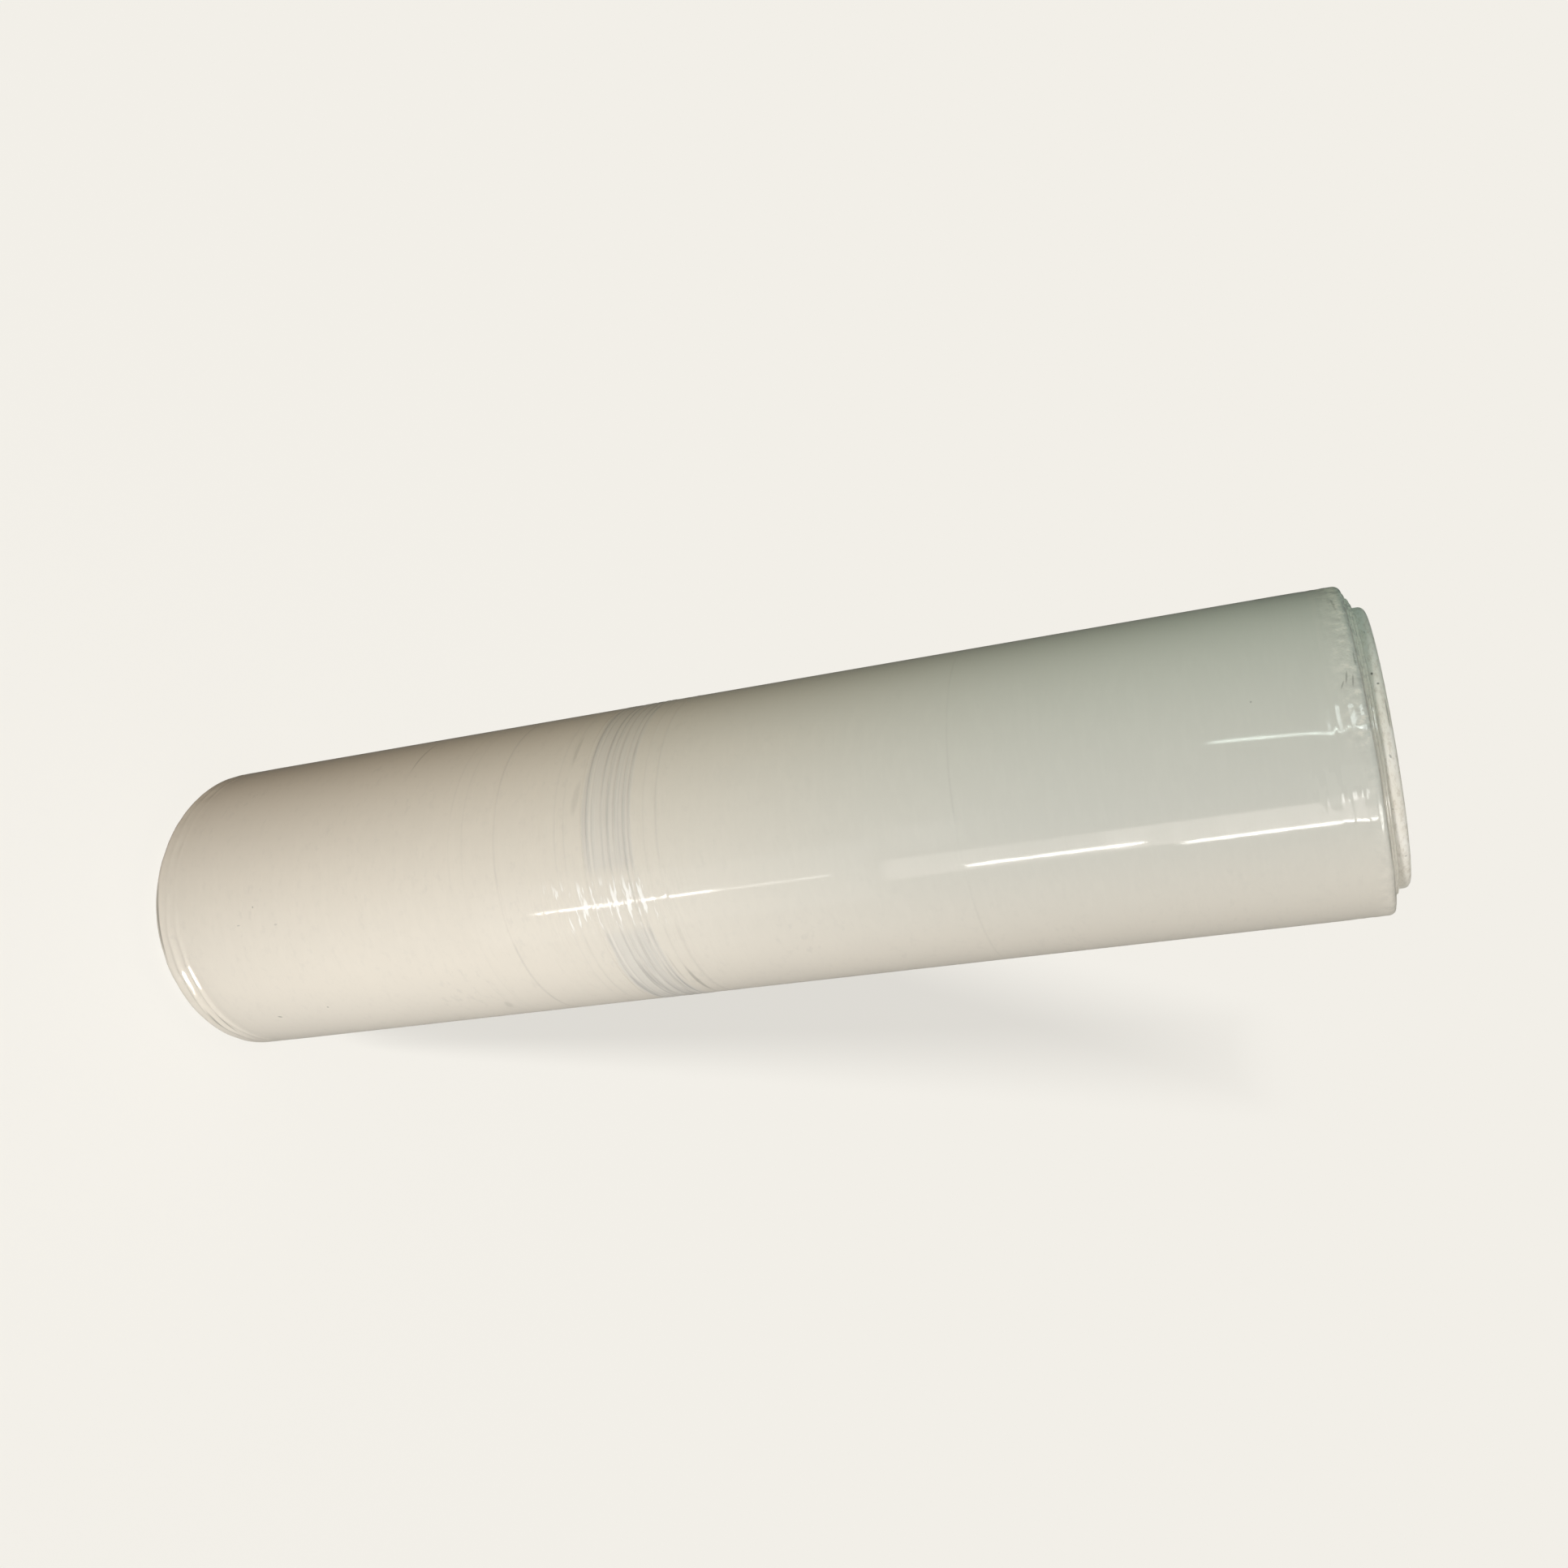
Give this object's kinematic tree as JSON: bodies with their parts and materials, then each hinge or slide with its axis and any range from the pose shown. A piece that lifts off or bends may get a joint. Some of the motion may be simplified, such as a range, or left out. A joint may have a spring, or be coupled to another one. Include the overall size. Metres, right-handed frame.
{
  "type": "cling film roll",
  "caption": "Firm cylinder of clear stretch film wound on an open paperboard core that stands out at both ends. Turns on a 76 mm spindle or holder while film is pulled off.",
  "frame": {"origin": "centre of the roll's base: on the core's axis, in the plane of the core's lower edge, which the roll stands on", "axes": "+Z along the core's axis, up, towards the end that is nearer in the picture; the roll is round about Z, so +X and +Y are free, and +X points towards the picture's camera"},
  "size_m": [0.1002, 0.1002, 0.411],
  "materials": {
    "core_board": "matte",
    "wound_film": "gloss"
  },
  "bodies": {
    "root": {"core_tube": "core_board", "film_roll": "wound_film"}
  },
  "joints": []
}
